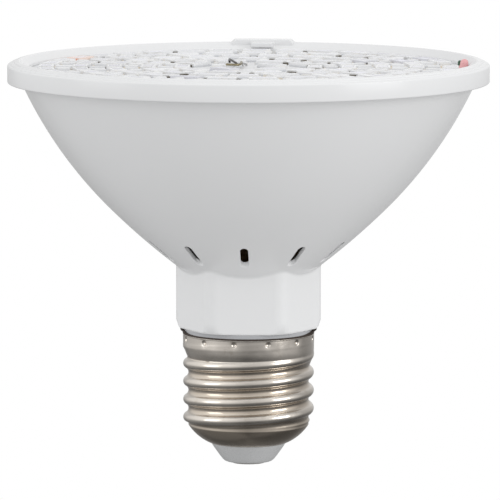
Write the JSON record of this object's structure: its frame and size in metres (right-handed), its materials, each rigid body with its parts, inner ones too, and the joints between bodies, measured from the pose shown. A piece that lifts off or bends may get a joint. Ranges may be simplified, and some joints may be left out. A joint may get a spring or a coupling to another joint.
{
  "type": "pool light bulb",
  "caption": "Screw-in LED reflector bulb with a flared white housing, vented six-sided neck, E27 cap and an open round LED board in a clipped front ring.",
  "frame": {"origin": "lowest point of the lamp on its axis: the middle of the centre contact's face", "axes": "+Z along the lamp's axis from the cap to the LED board, -Y towards the flat of the neck that faces the camera, +Y towards the lug on the front ring"},
  "size_m": [0.0961, 0.096, 0.0815],
  "materials": {
    "housing": "glossy moulded white",
    "front_ring": "glossy moulded white",
    "plated_brass": "nickel-plated, drawn and rolled",
    "insulator": "smooth pale",
    "contact": "plated",
    "board_white": "white solder mask",
    "led_package": "white moulded with clear window",
    "wire_red": "soft insulation",
    "wire_black": "soft insulation",
    "wire_green": "soft insulation",
    "solder": "reflowed tin",
    "board_brown": "bare laminate",
    "capacitor_sleeve": "shrunk sleeve",
    "capacitor_box": "moulded box",
    "component_black": "moulded",
    "resistor_body": "lacquered"
  },
  "bodies": {
    "root": {"housing": "housing", "front_ring": "front_ring", "screw_shell": "plated_brass", "cap_insulator": "insulator", "centre_contact": "contact", "led_board": "board_white", "led_row_1": "led_package", "led_row_2": "led_package", "led_row_3": "led_package", "led_row_4": "led_package", "led_row_5": "led_package", "led_row_6": "led_package", "plus_wire": "wire_red", "minus_wire": "wire_black", "wire_solder": "solder", "rim_wire_red": "wire_red", "rim_wire_green": "wire_green", "driver_board": "board_brown", "input_capacitor": "capacitor_sleeve", "output_capacitor": "capacitor_sleeve", "film_capacitor": "capacitor_box", "choke": "component_black", "bridge_rectifier": "component_black", "driver_chip": "component_black", "fuse_resistor": "resistor_body", "live_lead": "wire_red", "neutral_lead": "wire_black"}
  },
  "joints": []
}
